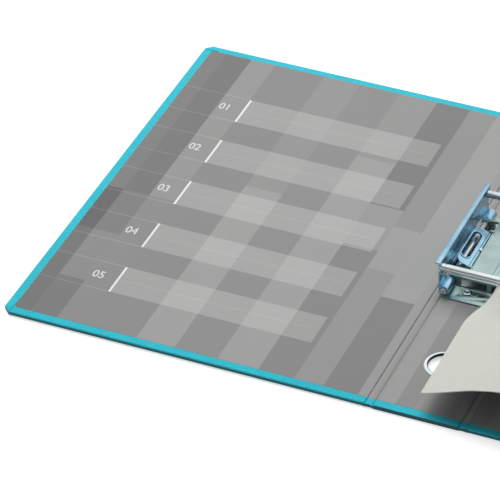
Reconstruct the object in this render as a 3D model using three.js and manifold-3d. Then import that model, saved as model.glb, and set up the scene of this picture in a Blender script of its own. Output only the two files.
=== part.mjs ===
// A tube file lying open: two cloth-covered boards and a spine, a bright steel binding mechanism with
// two tubes, and an index sheet threaded on the tubes.
// Millimetres, +Z up. X runs across the open file from the front cover (-X) to the back cover (+X), Y
// along the spine. The origin is on the table under the middle of the spine.

import * as THREE from 'three';
import { mergeVertices } from 'three/addons/utils/BufferGeometryUtils.js';
import Module from 'manifold-3d';

const wasm = await Module();
wasm.setup();

// Driving dimensions of the case
const caseHeight = 307;        // along the spine
const coverWidth = 227.5;      // fore-edge to hinge edge
const spineWidth = 50.6;       // between the two grooves
const webWidth = 5.6;          // the cloth groove between spine and cover
const cornerCut = 4.5;         // cut-off corner of a cover
const cloth = 0.4;             // bookcloth on the outside
const board = 1.9;             // greyboard core
const lining = 0.3;            // printed paper on the inside
const glue = 0.05;             // glue line between two layers
const turnIn = 5.5;            // cloth that shows round the lining
const webBottom = 0.4;         // the groove lies below the outer face
const webTop = 1.6;            // and below the inner face
const foldGap = 0.2;           // web to fold line, and fold line to cover

// Driving dimensions of the finger ring
const ringInset = 49.8;        // its centre, from the near end of the spine
const ringHole = 10.4;         // radius of the finger hole
const ringFlange = 13;         // outer radius of its flange
const ringWall = 0.7;
const ringFlangeHeight = 0.9;
const ringEdge = 0.35;         // rounding of its edges
const ringCrown = 1.2;         // width of its sloping shoulder

// Driving dimensions of the mechanism
const sheet = 1;               // steel sheet
const tubePitch = 80;          // between the two tubes
const tubeRadius = 2.4;
const tubeBore = 1.5;
const tubeHalf = 28.2;         // half of a tube's length
const tubeHeight = 19.7;       // its axis above the lining
const tubeGroove = 0.35;       // depth of the ring groove near its ends
const tubeGrooveWidth = 0.9;
const tubeGrooveInset = 4.4;   // groove to tube end
const tubeEdge = 0.5;          // rounding of its ends
const pinX = 24.2;             // hinge pin of a side plate
const pinHeight = 4.5;         // its axis above the lining
const pinRadius = 2;
const pinEnd = 43.4;           // half of its length
const knuckleClear = 0.15;     // running clearance round a pin
const knuckleInner = 31.2;     // a knuckle runs from here
const knuckleOuter = 42.3;     // to here, at both ends of a side plate
const wallRise = 23.7;         // top of a side plate above the lining
const wallFoot = 2;            // its lower edge above the lining
const wallLean = 0.55;         // how far it leans outwards at the top
const wallTail = 45;           // the long end of its lip
const tailRise = 14;           // lower edge of that end above the lining
const lipWidth = 2.1;          // lip beyond the wall
const lipDroop = 0.3;
const slotInner = 20.6;        // cut-out in the wall for spring and ear
const slotOuter = 30.9;
const slotRise = 8.8;          // its top above the lining
const footHalf = 22;           // base plate: half of the width of its feet
const footEnd = 43.5;          // end of a foot
const riserY = 29.5;           // inner face of a riser
const deckRise = 8.4;          // top of the raised deck above the lining
const deckHalf = 15.2;         // half of its width
const riserHole = 16;          // window in a riser, one each side of the middle
const riserHoleHeight = 4.6;
const riserHoleRise = 1.2;     // its lower edge above the foot
const riserRib = 3;            // rib left between the two windows
const leverPivotX = 16.7;
const leverPivotRise = 7.3;    // above the lining
const leverLength = 9.8;
const leverHalf = 18.5;        // half of its width along the spine
const leverSlope = 20;         // degrees
const leverSheet = 0.9;
const leverPinRadius = 0.65;
const leverKnuckle = 1.15;     // radius of its rolled edge
const leverCorner = 3;         // cut-off corner
const leverWindow = [26, 6];   // finger window: length and width
const leverWindowAt = 6.1;     // its middle from the pivot
const leverRim = [0.6, 0.7];   // raised rim: width and height
const lugThick = 1.2;
const lugHalf = 1.6;
const springRadius = 2.75;     // middle of the wire
const springWire = 0.42;
const springTurns = 5;
const springInner = 21.4;
const springOuter = 28.7;
const springLeg = 7;
const springLean = 2.1;        // how far the upper leg leans in from the wall
const rivetX = 12.2;
const rivetY = 34.5;
const rivetHead = 2.9;
const rivetHeadHeight = 0.8;
const rivetShank = 1.7;
const rivetBore = 1;
const rivetFlange = 3.2;
const rivetEdge = 0.3;         // rounding of its head
const rivetDish = 0.3;         // how far its middle is sunk
const clear = 0.3;             // clearance round what moves or passes through
const tubeClear = 0.5;         // clearance of a tube in the side plates, which swing off its end

// Driving dimensions of the index sheet
const cardMargin = 5;          // end of the case to end of the sheet
const cardThick = 0.5;
const cardColumns = 16;
const cardRows = 18;
const cardSteep = 50;          // the sheet stands steep on the tubes up to here from the middle
const cardFlat = 92;           // and lies at its easy curve from here on
const cardSpread = 1.4;        // its cells widen away from the tubes by this power
// Both sections as distance from the middle of the spine and height above the table. They share
// the part that comes to rest on the back cover, where the last two heights are above the lining
const steepPart = [[5.5, 11.5], [11.2, 22.4], [17, 29], [26, 33.2], [45, 35.5], [72, 32.5]];
const easyPart = [
  [1, 15.8], [8.3, 18.2], [16.4, 21.2], [24.2, 24.2], [33.1, 27.2], [50, 30.6], [75, 30],
];
const fallingPart = [[110, 22.5], [150, 10.7]];
const restingPart = [[185, 1.1], [208, 0]];

// Levels and places that follow from the sizes above
const boardBottom = cloth + glue;
const boardTop = boardBottom + board;
const liningBottom = boardTop + glue;
const top = liningBottom + lining;
const halfHeight = caseHeight / 2;
const ringY = ringInset - halfHeight;
const halfSpine = spineWidth / 2;
const foldX = halfSpine + webWidth + foldGap;
const coverInner = foldX + foldGap;
const coverOuter = coverInner + coverWidth;
const tubeZ = top + tubeHeight;
const tubeY = tubePitch / 2;
const cardLength = caseHeight - 2 * cardMargin;
const pinZ = top + pinHeight;
const knuckleHole = pinRadius + knuckleClear;
const knuckleRadius = knuckleHole + sheet;
const wallOuter = pinX + knuckleRadius;
const wallInner = wallOuter - sheet;
const wallTop = top + wallRise;
const leverPivotZ = top + leverPivotRise;
const leverPinHole = leverPinRadius + knuckleClear;
const deckTop = top + deckRise;
const lugY = leverHalf + clear;

const colour = (hex, roughness, metalness = 0) =>
  new THREE.MeshStandardMaterial({ color: hex, roughness, metalness });
const turquoiseCloth = colour(0x3fbccb, 0.75);
const greyBoard = colour(0x8f8576, 0.9);
const printedLining = colour(0x9c9c9a, 0.7);
const zincPlate = colour(0xb4c8d2, 0.28, 1);
const brightTube = colour(0xdde4e6, 0.15, 1);
const springSteel = colour(0xc9cdd0, 0.3, 1);
const indexCard = colour(0xced0c8, 0.65);

// Solid helpers: three.js geometry to a solid and back
function solid(geometry) {
  const bare = geometry.clone();
  bare.deleteAttribute('normal');
  bare.deleteAttribute('uv');
  const merged = mergeVertices(bare, 1e-5);
  return new wasm.Manifold(new wasm.Mesh({
    numProp: 3,
    vertProperties: new Float32Array(merged.attributes.position.array),
    triVerts: new Uint32Array(merged.index.array),
  }));
}

function geometryOf(body) {
  const mesh = body.getMesh();
  const geometry = new THREE.BufferGeometry();
  geometry.setAttribute('position', new THREE.BufferAttribute(new Float32Array(mesh.vertProperties), 3));
  geometry.setIndex(Array.from(mesh.triVerts));
  geometry.computeVertexNormals();
  return geometry;
}

function join(...bodies) {
  return bodies.reduce((sum, next) => sum.add(next));
}

function cut(body, ...tools) {
  return tools.reduce((rest, tool) => rest.subtract(tool), body);
}

function box(x0, x1, y0, y1, z0, z1) {
  const geometry = new THREE.BoxGeometry(x1 - x0, y1 - y0, z1 - z0);
  return solid(geometry.translate((x0 + x1) / 2, (y0 + y1) / 2, (z0 + z1) / 2));
}

function post(x, y, z0, z1, radius, sides = 24) {
  const geometry = new THREE.CylinderGeometry(radius, radius, z1 - z0, sides);
  return solid(geometry.rotateX(Math.PI / 2).translate(x, y, (z0 + z1) / 2));
}

function rodAlongY(x, z, y0, y1, radius, sides = 20) {
  const geometry = new THREE.CylinderGeometry(radius, radius, y1 - y0, sides);
  return solid(geometry.translate(x, (y0 + y1) / 2, z));
}

function rodAlongX(y, z, x0, x1, radius, sides = 20) {
  const geometry = new THREE.CylinderGeometry(radius, radius, x1 - x0, sides);
  return solid(geometry.rotateZ(Math.PI / 2).translate((x0 + x1) / 2, y, z));
}

function slab(points, z0, z1) {
  const shape = new THREE.Shape(points.map(([x, y]) => new THREE.Vector2(x, y)));
  const geometry = new THREE.ExtrudeGeometry(shape, { depth: z1 - z0, bevelEnabled: false });
  return solid(geometry.translate(0, 0, z0));
}

function sectionAlongY(points, y0, y1) {
  const shape = new THREE.Shape(points.map(([x, z]) => new THREE.Vector2(x, z)));
  const geometry = new THREE.ExtrudeGeometry(shape, { depth: y1 - y0, bevelEnabled: false });
  return solid(geometry.rotateX(Math.PI / 2).translate(0, y1, 0));
}

function turned(points, sides = 32) {
  const profile = points.map(([r, z]) => new THREE.Vector2(r, z));
  profile.push(profile[0].clone());
  return new THREE.LatheGeometry(profile, sides).rotateX(Math.PI / 2);
}

const file = new THREE.Group();

function place(parent, name, body, material) {
  const geometry = body.isBufferGeometry ? body : geometryOf(body);
  const mesh = new THREE.Mesh(geometry, material);
  mesh.name = name;
  parent.add(mesh);
  return mesh;
}

// Cover: a board wrapped in cloth on three edges, with the lining inside the turned-in cloth
function coverOutline(inset, hingeX) {
  const x = coverOuter - inset;
  const y = halfHeight - inset;
  const c = cornerCut - inset * (2 - Math.SQRT2);
  return [[hingeX, -y], [x - c, -y], [x, c - y], [x, y - c], [x - c, y], [hingeX, y]];
}

function cover(name) {
  const side = new THREE.Group();
  const past = coverInner - 1;
  const wrap = cut(
    slab(coverOutline(0, coverInner), 0, top),
    slab(coverOutline(cloth, past), cloth, liningBottom),
    slab(coverOutline(turnIn, past), cloth, top + 1),
  );
  place(side, name + '_cover_cloth', wrap, turquoiseCloth);
  const core = slab(coverOutline(cloth + glue, coverInner), boardBottom, boardTop);
  place(side, name + '_board', core, greyBoard);
  const paper = slab(coverOutline(turnIn + glue, coverInner), liningBottom, top);
  place(side, name + '_lining', paper, printedLining);
  return side;
}

const backSide = cover('back');
const frontSide = cover('front');
frontSide.rotation.z = Math.PI;
file.add(frontSide, backSide);

// Groove: the thin web of cloth and paper that folds between spine and cover
function web(name, side) {
  const [x0, x1] = [side * halfSpine, side * (halfSpine + webWidth)].sort((a, b) => a - b);
  place(file, name, box(x0, x1, -halfHeight, halfHeight, webBottom, webTop), turquoiseCloth);
}

web('front_hinge_cloth', -1);
web('back_hinge_cloth', 1);

// Spine: cloth, board and lining, pierced for the finger ring and the four rivets
const rivetPlaces = [];
for (const x of [-rivetX, rivetX]) {
  for (const y of [-rivetY, rivetY]) rivetPlaces.push([x, y]);
}

function pierced(body, holeRadius, ringRadius) {
  const holes = rivetPlaces.map(([x, y]) => post(x, y, -1, top + 1, holeRadius, 20));
  return cut(body, post(0, ringY, -1, top + 1, ringRadius, 40), ...holes);
}

const ringBarrel = ringHole + ringWall;
const spineWrap = cut(
  box(-halfSpine, halfSpine, -halfHeight, halfHeight, 0, top),
  box(-halfSpine - 1, halfSpine + 1, cloth - halfHeight, halfHeight - cloth, cloth, liningBottom),
  box(-halfSpine - 1, halfSpine + 1, turnIn - halfHeight, halfHeight - turnIn, cloth, top + 1),
);
const boardEnd = halfHeight - cloth - glue;
const liningEnd = halfHeight - turnIn - glue;
place(file, 'spine_cloth', pierced(spineWrap, rivetFlange + clear, ringFlange + clear), turquoiseCloth);
const spineBoard = box(-halfSpine, halfSpine, -boardEnd, boardEnd, boardBottom, boardTop);
const spineRecess = post(0, ringY, 0, boardBottom + ringFlangeHeight - cloth, ringFlange + clear, 40);
const spineCore = cut(pierced(spineBoard, rivetShank + clear, ringBarrel + clear), spineRecess);
place(file, 'spine_board', spineCore, greyBoard);
const spineLining = box(-halfSpine, halfSpine, -liningEnd, liningEnd, liningBottom, top);
place(file, 'spine_lining', pierced(spineLining, rivetShank + clear, ringBarrel + clear), printedLining);

// Finger ring: an eyelet with a flange inside the file and a flat collar outside
const flangeTop = top + glue + ringFlangeHeight;
const eyelet = turned([
  [ringHole, ringFlangeHeight + glue],
  [ringBarrel, ringFlangeHeight + glue],
  [ringBarrel, top + glue],
  [ringFlange, top + glue],
  [ringFlange - ringEdge, flangeTop - ringEdge],
  [ringFlange - ringCrown, flangeTop],
  [ringHole + 2 * ringEdge, flangeTop],
  [ringHole, flangeTop - ringEdge],
], 36);
place(file, 'finger_ring', eyelet, brightTube).position.set(0, ringY, 0);
const collar = turned([
  [ringHole, ringEdge],
  [ringHole + ringEdge, 0],
  [ringFlange - ringEdge, 0],
  [ringFlange, ringEdge],
  [ringFlange, ringFlangeHeight - clear],
  [ringBarrel, ringFlangeHeight],
  [ringHole, ringFlangeHeight],
], 36);
place(file, 'finger_ring_collar', collar, brightTube).position.set(0, ringY, 0);

// Base plate: two feet, two risers with windows and ears for the hinge pins, and a raised deck
function baseSide(side) {
  const span = (x0, x1) => [side * x0, side * x1].sort((a, b) => a - b);
  const parts = [];
  for (const end of [-1, 1]) {
    const [y0, y1] = [end * riserY, end * (riserY + sheet)].sort((a, b) => a - b);
    const ear = join(
      rodAlongY(side * pinX, pinZ, y0, y1, knuckleRadius),
      box(...span(0, pinX), y0, y1, top + sheet / 2, deckTop),
    );
    const ribEdge = riserRib / 2;
    const windowLow = top + sheet + riserHoleRise;
    const windowTop = windowLow + riserHoleHeight;
    parts.push(cut(
      ear,
      rodAlongY(side * pinX, pinZ, y0 - 1, y1 + 1, knuckleHole),
      box(...span(ribEdge, ribEdge + riserHole), y0 - 1, y1 + 1, windowLow, windowTop),
    ));
    const [l0, l1] = [end * lugY, end * (lugY + lugThick)].sort((a, b) => a - b);
    const lug = join(
      box(...span(deckHalf - 1, leverPivotX), l0, l1, deckTop - sheet, leverPivotZ + lugHalf),
      rodAlongY(side * leverPivotX, leverPivotZ, l0, l1, lugHalf),
    );
    parts.push(cut(lug, rodAlongY(side * leverPivotX, leverPivotZ, l0 - 1, l1 + 1, leverPinHole, 12)));
  }
  return join(...parts);
}

function basePlate() {
  const edge = riserY + sheet;
  const deck = box(-deckHalf, deckHalf, -edge, edge, deckTop - sheet, deckTop);
  const feet = [-1, 1].map((end) => {
    const [y0, y1] = [end * riserY, end * footEnd].sort((a, b) => a - b);
    return box(-footHalf, footHalf, y0, y1, top, top + sheet);
  });
  const whole = join(deck, ...feet, baseSide(-1), baseSide(1));
  return cut(whole, ...rivetPlaces.map(([x, y]) => post(x, y, 0, deckTop, rivetShank + clear, 20)));
}

place(file, 'base_plate', basePlate(), zincPlate);

// Hollow rivets that hold the base plate to the spine
rivetPlaces.forEach(([x, y], index) => {
  const head = top + sheet + glue;
  const rivet = turned([
    [rivetBore, 0],
    [rivetFlange, 0],
    [rivetFlange, cloth - glue],
    [rivetShank, cloth],
    [rivetShank, head],
    [rivetHead, head],
    [rivetHead - rivetEdge, head + rivetHeadHeight - rivetEdge],
    [rivetHead - 3 * rivetEdge, head + rivetHeadHeight],
    [rivetBore, head + rivetHeadHeight - rivetDish],
  ], 16);
  place(file, 'base_rivet_' + (index + 1), rivet, brightTube).position.set(x, y, 0);
});

// Side plate: a leaning wall with an outward lip, two hinge knuckles and a hole for each tube
function sidePlate() {
  const lipEdge = wallOuter + wallLean + lipWidth;
  const wall = sectionAlongY([
    [wallInner, top + wallFoot],
    [wallOuter, top + wallFoot],
    [wallOuter + wallLean, wallTop - sheet],
    [lipEdge, wallTop - sheet - lipDroop],
    [lipEdge, wallTop - sheet * 0.3 - lipDroop],
    [lipEdge - sheet * 0.4, wallTop - lipDroop * 0.8],
    [wallInner + wallLean + sheet * 0.6, wallTop],
    [wallInner + wallLean, wallTop - sheet * 0.5],
  ], -wallTail, knuckleOuter);
  const knuckles = [[-knuckleOuter, -knuckleInner], [knuckleInner, knuckleOuter]].map(
    ([y0, y1]) => rodAlongY(pinX, pinZ, y0, y1, knuckleRadius));
  const bore = rodAlongY(pinX, pinZ, -wallTail, wallTail, knuckleHole);
  const tail = box(wallInner - 1, lipEdge + 1, -wallTail - 1, -knuckleOuter - clear, 0, top + tailRise);
  const slots = [[-slotOuter, -slotInner], [slotInner, slotOuter]].map(
    ([y0, y1]) => box(wallInner - 1, wallOuter + 1, y0, y1, 0, top + slotRise));
  const tubeHoles = [-tubeY, tubeY].map(
    (y) => rodAlongX(y, tubeZ, wallInner - 1, lipEdge + 1, tubeRadius + tubeClear, 24));
  return cut(join(wall, ...knuckles), bore, tail, ...slots, ...tubeHoles);
}

// Release lever: a sprung plate with a rimmed finger window, on a pin at the edge of the deck
function racetrack(length, width, x, z0, z1, sides = 24) {
  const r = width / 2;
  const run = length / 2 - r;
  return join(
    box(x - r, x + r, -run, run, z0, z1),
    post(x, -run, z0, z1, r, sides),
    post(x, run, z0, z1, r, sides),
  );
}

function lever() {
  const half = leverSheet / 2;
  const [length, width] = leverWindow;
  const [rimWidth, rimHeight] = leverRim;
  const c = leverCorner;
  const plate = slab([
    [0, -leverHalf], [leverLength - c, -leverHalf], [leverLength, c - leverHalf],
    [leverLength, leverHalf - c], [leverLength - c, leverHalf], [0, leverHalf],
  ], -half, half);
  const rimTop = half + rimHeight;
  const rim = racetrack(length + 2 * rimWidth, width + 2 * rimWidth, leverWindowAt, 0, rimTop);
  const roll = rodAlongY(0, 0, -leverHalf, leverHalf, leverKnuckle, 16);
  return cut(
    join(plate, rim, roll),
    racetrack(length, width, leverWindowAt, -half - 1, rimTop + 1),
    rodAlongY(0, 0, -leverHalf - 1, leverHalf + 1, leverPinHole, 12),
  );
}

// Torsion spring: its turns lie round the hinge pin, one leg goes up the wall and one under the deck
function torsionSpring(end) {
  const points = [new THREE.Vector3(-springLeg, end * springInner, -springRadius)];
  const stepsPerTurn = 12;
  const steps = springTurns * stepsPerTurn + stepsPerTurn / 4;
  for (let i = 0; i <= steps; i += 1) {
    const angle = (i / stepsPerTurn) * 2 * Math.PI - Math.PI / 2;
    const y = springInner + (springOuter - springInner) * (i / steps);
    points.push(new THREE.Vector3(Math.cos(angle) * springRadius, end * y, Math.sin(angle) * springRadius));
  }
  points.push(new THREE.Vector3(springRadius - springLean, end * springOuter, springLeg));
  const wire = new THREE.Shape();
  wire.absarc(0, 0, springWire, 0, 2 * Math.PI);
  return new THREE.ExtrudeGeometry(wire, {
    steps: 64, curveSegments: 3, bevelEnabled: false, extrudePath: new THREE.CatmullRomCurve3(points),
  });
}

// Opening side: the same set of pieces serves both sides of the file, turned half round
function openingSide(name, facing) {
  const side = new THREE.Group();
  place(side, name + '_side_plate', sidePlate(), zincPlate);
  place(side, name + '_hinge_pin', rodAlongY(pinX, pinZ, -pinEnd, pinEnd, pinRadius), springSteel);
  const swung = place(side, name + '_release_lever', lever(), zincPlate);
  swung.position.set(leverPivotX, 0, leverPivotZ);
  swung.rotation.y = -THREE.MathUtils.degToRad(leverSlope);
  const pinReach = lugY + lugThick + clear;
  const leverPin = rodAlongY(leverPivotX, leverPivotZ, -pinReach, pinReach, leverPinRadius, 12);
  place(side, name + '_lever_pin', leverPin, springSteel);
  for (const end of [-1, 1]) {
    const where = end * facing < 0 ? 'near' : 'far';
    place(side, `${name}_${where}_spring`, torsionSpring(end), springSteel).position.set(pinX, 0, pinZ);
  }
  side.rotation.z = facing < 0 ? Math.PI : 0;
  file.add(side);
}

openingSide('left', -1);
openingSide('right', 1);

// Tubes: they lie in the notches of both side plates
function tube() {
  const groove = tubeHalf - tubeGrooveInset;
  const low = tubeRadius - tubeGroove;
  const half = tubeGrooveWidth / 2;
  const outer = [
    [tubeBore, tubeHalf], [tubeRadius - tubeEdge, tubeHalf], [tubeRadius, tubeHalf - tubeEdge],
    [tubeRadius, groove + half], [low, groove + half / 2],
    [low, groove - half / 2], [tubeRadius, groove - half],
  ];
  const mirrored = outer.map(([r, z]) => [r, -z]);
  return turned([...mirrored, ...outer.reverse()], 20).rotateY(Math.PI / 2);
}

place(file, 'near_tube', tube(), brightTube).position.set(0, -tubeY, tubeZ);
place(file, 'far_tube', tube(), brightTube).position.set(0, tubeY, tubeZ);

// Index sheet: threaded on the tubes, it stands steep there, arches over and rests on the back cover
const restZ = top + cardThick;

function cardSection(ownPart) {
  const resting = restingPart.map(([x, above]) => [x, restZ + above]);
  const points = [...ownPart, ...fallingPart, ...resting];
  return new THREE.CatmullRomCurve3(points.map(([x, z]) => new THREE.Vector3(x, 0, z)));
}

const steepSection = cardSection(steepPart);
const easySection = cardSection(easyPart);

function cardPoint(u, y) {
  const ease = THREE.MathUtils.smoothstep(Math.abs(y), cardSteep, cardFlat);
  return steepSection.getPointAt(u).lerp(easySection.getPointAt(u), ease).setY(y);
}

function indexSheet() {
  const positions = [];
  const faces = [];
  const columns = cardColumns + 1;
  const layer = columns * (cardRows + 1);
  for (const lift of [-cardThick / 2, cardThick / 2]) {
    for (let row = 0; row <= cardRows; row += 1) {
      const y = cardLength * (row / cardRows - 0.5);
      for (let column = 0; column <= cardColumns; column += 1) {
        const u = (column / cardColumns) ** cardSpread;
        const here = cardPoint(u, y);
        const along = cardPoint(Math.min(u + 0.01, 1), y).sub(cardPoint(Math.max(u - 0.01, 0), y));
        const normal = new THREE.Vector3(-along.z, 0, along.x).normalize();
        positions.push(...here.addScaledVector(normal, lift).toArray());
      }
    }
  }
  const quad = (a, b, c, d) => faces.push(a, b, c, a, c, d);
  for (let row = 0; row < cardRows; row += 1) {
    for (let column = 0; column < cardColumns; column += 1) {
      const a = row * columns + column;
      const [b, c, d] = [a + 1, a + 1 + columns, a + columns];
      quad(a, d, c, b);
      quad(a + layer, b + layer, c + layer, d + layer);
    }
  }
  for (let column = 0; column < cardColumns; column += 1) {
    const far = cardRows * columns + column;
    quad(column, column + 1, column + 1 + layer, column + layer);
    quad(far + 1, far, far + layer, far + 1 + layer);
  }
  for (let row = 0; row < cardRows; row += 1) {
    const left = row * columns;
    const right = left + cardColumns;
    quad(left + columns, left, left + layer, left + columns + layer);
    quad(right, right + columns, right + columns + layer, right + layer);
  }
  const geometry = new THREE.BufferGeometry();
  geometry.setAttribute('position', new THREE.BufferAttribute(new Float32Array(positions), 3));
  geometry.setIndex(faces);
  const holes = [-tubeY, tubeY].map((y) => rodAlongX(y, tubeZ, 0, halfSpine, tubeRadius + clear, 24));
  return cut(solid(geometry), ...holes);
}

place(file, 'index_sheet', indexSheet(), indexCard);

export default file;
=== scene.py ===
"""Looks of the open tube file: cloth, printed lining, plated steel, card, floor, light and camera."""
import functools
import math

import bmesh
import bpy
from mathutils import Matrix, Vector


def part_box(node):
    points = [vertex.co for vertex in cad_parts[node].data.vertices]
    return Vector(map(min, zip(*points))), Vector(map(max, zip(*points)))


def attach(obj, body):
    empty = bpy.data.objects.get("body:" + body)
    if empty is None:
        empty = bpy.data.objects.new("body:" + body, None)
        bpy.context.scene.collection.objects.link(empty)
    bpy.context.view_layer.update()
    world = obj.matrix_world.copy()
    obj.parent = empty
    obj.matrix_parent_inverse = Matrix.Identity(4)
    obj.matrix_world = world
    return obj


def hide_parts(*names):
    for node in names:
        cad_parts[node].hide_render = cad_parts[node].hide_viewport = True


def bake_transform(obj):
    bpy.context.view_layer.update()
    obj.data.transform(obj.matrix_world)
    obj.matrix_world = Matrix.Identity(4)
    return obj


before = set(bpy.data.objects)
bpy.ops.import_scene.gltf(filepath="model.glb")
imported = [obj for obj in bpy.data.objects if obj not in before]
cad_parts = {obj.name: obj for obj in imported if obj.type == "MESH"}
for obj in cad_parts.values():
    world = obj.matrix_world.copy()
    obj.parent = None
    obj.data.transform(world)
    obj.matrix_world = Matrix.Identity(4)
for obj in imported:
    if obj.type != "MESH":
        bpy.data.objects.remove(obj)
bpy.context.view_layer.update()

bl_info = {
    "name": "Tube File",
    "version": (1, 0, 0),
    "blender": (4, 5, 0),
    "location": "View3D > Sidebar > Tube File",
    "description": "Dresses the tube file's frame with cloth, print, steel and card",
    "category": "Object",
}

MM = 0.001
WHITE = (1, 1, 1, 1)


def srgb(red, green, blue):
    """The linear colour of one given as 0 to 255 on screen."""
    def linear(value):
        c = value / 255
        return c / 12.92 if c <= 0.04045 else ((c + 0.055) / 1.055) ** 2.4
    return (linear(red), linear(green), linear(blue))


def grey(value):
    """A linear grey."""
    return (value, value, value)


def brighter(colour, share):
    """A linear colour times a share, which may also be below 1."""
    return tuple(min(1, part * share) for part in colour)


def span(node, axis):
    """Lowest and highest place of a CAD node along axis 0, 1 or 2, for X, Y or Z."""
    low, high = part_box(node)
    return low[axis], high[axis]


# Places that follow from the frame, in metres
COVER_TOP = span("front_lining", 2)[1]
FORE_EDGE = span("front_cover_cloth", 0)[0]
COVER_EDGE = span("front_cover_cloth", 0)[1]
SPINE_EDGE = span("spine_cloth", 0)[1]
HALF_HEIGHT = span("spine_cloth", 1)[1]
LINING_END = span("front_lining", 1)[1]
LINING_EDGE = span("front_lining", 0)[0]
TUBE_Y = sum(span("far_tube", 1)) / 2
TUBE_Z = sum(span("far_tube", 2)) / 2
TUBE_R = (span("far_tube", 2)[1] - span("far_tube", 2)[0]) / 2
PIVOT_X = abs(sum(span("left_lever_pin", 0)) / 2)
PIVOT_Z = sum(span("left_lever_pin", 2)) / 2
DECK_TOP = COVER_TOP + 8.4 * MM
FOOT_TOP = COVER_TOP + 1.0 * MM

# Places this near count as the same, and vertices this near are merged
NEAR = 0.01 * MM
MERGE = 0.001 * MM
# CAD faces that meet at less than this are one flat face
FLAT = math.radians(0.5)
# How deep an added form is sunk into what it sits on, and how its edge is rounded
SINK = 0.2 * MM
SMALL_EDGE = 0.12 * MM


class CaseSettings(bpy.types.PropertyGroup):
    """Sizes and colours of the cloth-covered case."""
    cloth: bpy.props.FloatVectorProperty(
        name="Cloth", description="Colour of the bookcloth", subtype="COLOR", size=3,
        default=srgb(42, 190, 208), min=0, max=1)
    rounding: bpy.props.FloatProperty(
        name="Rounding", description="Radius of the wrapped edges", unit="LENGTH", default=0.7 * MM)
    ripple: bpy.props.FloatProperty(
        name="Ripple", description="Distance between two ripples of the cloth", unit="LENGTH",
        default=math.pi * MM)
    fold_height: bpy.props.FloatProperty(
        name="Corner fold", description="How far a folded corner stands proud", unit="LENGTH",
        default=0.25 * MM)
    groove_depth: bpy.props.FloatProperty(
        name="Groove depth", description="How deep the hinge groove lies below the lining",
        unit="LENGTH", default=1.15 * MM)


class PrintSettings(bpy.types.PropertyGroup):
    """Sizes and tones of the printed lining."""
    field_pitch: bpy.props.FloatProperty(
        name="Field pitch", description="Distance between two index fields", unit="LENGTH",
        default=48 * MM)
    field_height: bpy.props.FloatProperty(
        name="Field height", description="Height of an index field", unit="LENGTH", default=26 * MM)
    number_height: bpy.props.FloatProperty(
        name="Number height", description="Height of the printed numbers", unit="LENGTH",
        default=6.6 * MM)
    number_colour: bpy.props.FloatVectorProperty(
        name="Numbers", description="Colour of the printed numbers", subtype="COLOR", size=3,
        default=srgb(222, 222, 222), min=0, max=1)


class SteelSettings(bpy.types.PropertyGroup):
    """Colours and edges of the binding mechanism."""
    plated: bpy.props.FloatVectorProperty(
        name="Plated steel", description="Colour of the plated base", subtype="COLOR", size=3,
        default=srgb(166, 187, 184), min=0, max=1)
    blue: bpy.props.FloatVectorProperty(
        name="Blue plating", description="Colour of the levers and side plates", subtype="COLOR",
        size=3, default=srgb(156, 196, 216), min=0, max=1)
    bright: bpy.props.FloatVectorProperty(
        name="Bright steel", description="Colour of tubes, rivets and ring", subtype="COLOR",
        size=3, default=srgb(212, 219, 222), min=0, max=1)
    edge: bpy.props.FloatProperty(
        name="Edge", description="Rounding of a stamped edge", unit="LENGTH", default=0.16 * MM)


class SheetSettings(bpy.types.PropertyGroup):
    """Size and colour of the index sheet."""
    colour: bpy.props.FloatVectorProperty(
        name="Card", description="Colour of the index sheet", subtype="COLOR", size=3,
        default=srgb(207, 209, 201), min=0, max=1)
    thickness: bpy.props.FloatProperty(
        name="Thickness", description="Thickness of the card", unit="LENGTH", default=0.5 * MM)


class StageSettings(bpy.types.PropertyGroup):
    """Camera and light."""
    azimuth: bpy.props.FloatProperty(
        name="Azimuth", description="Camera's turn about the vertical", subtype="ANGLE",
        default=math.radians(22.62))
    elevation: bpy.props.FloatProperty(
        name="Elevation", description="Camera's angle above the table", subtype="ANGLE",
        default=math.radians(36.24))
    lens: bpy.props.FloatProperty(
        name="Lens", description="Focal length on a 36 mm frame, in millimetres", default=272.53)
    key: bpy.props.FloatProperty(
        name="Key light", description="Power of the overhead softbox in watts", default=46.5)
    reflection: bpy.props.FloatProperty(
        name="Reflected studio", description="Brightness of the studio in reflections", default=1.2)
    fill: bpy.props.FloatProperty(
        name="Sky", description="Strength of the plain sky", default=0.22)


# Modelling helpers

def start_fresh():
    """Object mode with nothing selected."""
    if bpy.context.mode != "OBJECT":
        bpy.ops.object.mode_set(mode="OBJECT")
    bpy.ops.object.select_all(action="DESELECT")


def take(obj):
    """Makes obj the one selected and active object."""
    start_fresh()
    obj.select_set(True)
    bpy.context.view_layer.objects.active = obj


def settle():
    """Puts the selected object's place, turn and scale into its mesh."""
    bpy.ops.object.transform_apply(location=True, rotation=True, scale=True)


def new_piece(name):
    """Names the primitive just added and settles it."""
    obj = bpy.context.active_object
    obj.name = name
    obj.data.name = name
    settle()
    return obj


def loop(name, points, fill):
    """A closed loop through the points, as a start for a piece."""
    start_fresh()
    bpy.ops.mesh.primitive_circle_add(vertices=len(points), radius=MM, fill_type=fill)
    obj = new_piece(name)
    for vertex, point in zip(obj.data.vertices, points):
        vertex.co = point
    return obj


def edit(obj):
    """Edit mode on obj with all of it selected."""
    take(obj)
    bpy.ops.object.mode_set(mode="EDIT")
    bpy.ops.mesh.select_mode(type="VERT")
    bpy.ops.mesh.select_all(action="SELECT")


def leave():
    """Back from edit mode to object mode."""
    bpy.ops.object.mode_set(mode="OBJECT")


def choose_edges(obj, test):
    """Selects the edges for which test(first point, second point) is true."""
    bpy.ops.mesh.select_mode(type="EDGE")
    bpy.ops.mesh.select_all(action="DESELECT")
    shape = bmesh.from_edit_mesh(obj.data)
    for edge in shape.edges:
        edge.select_set(test(edge.verts[0].co, edge.verts[1].co))
    bmesh.update_edit_mesh(obj.data)


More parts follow.
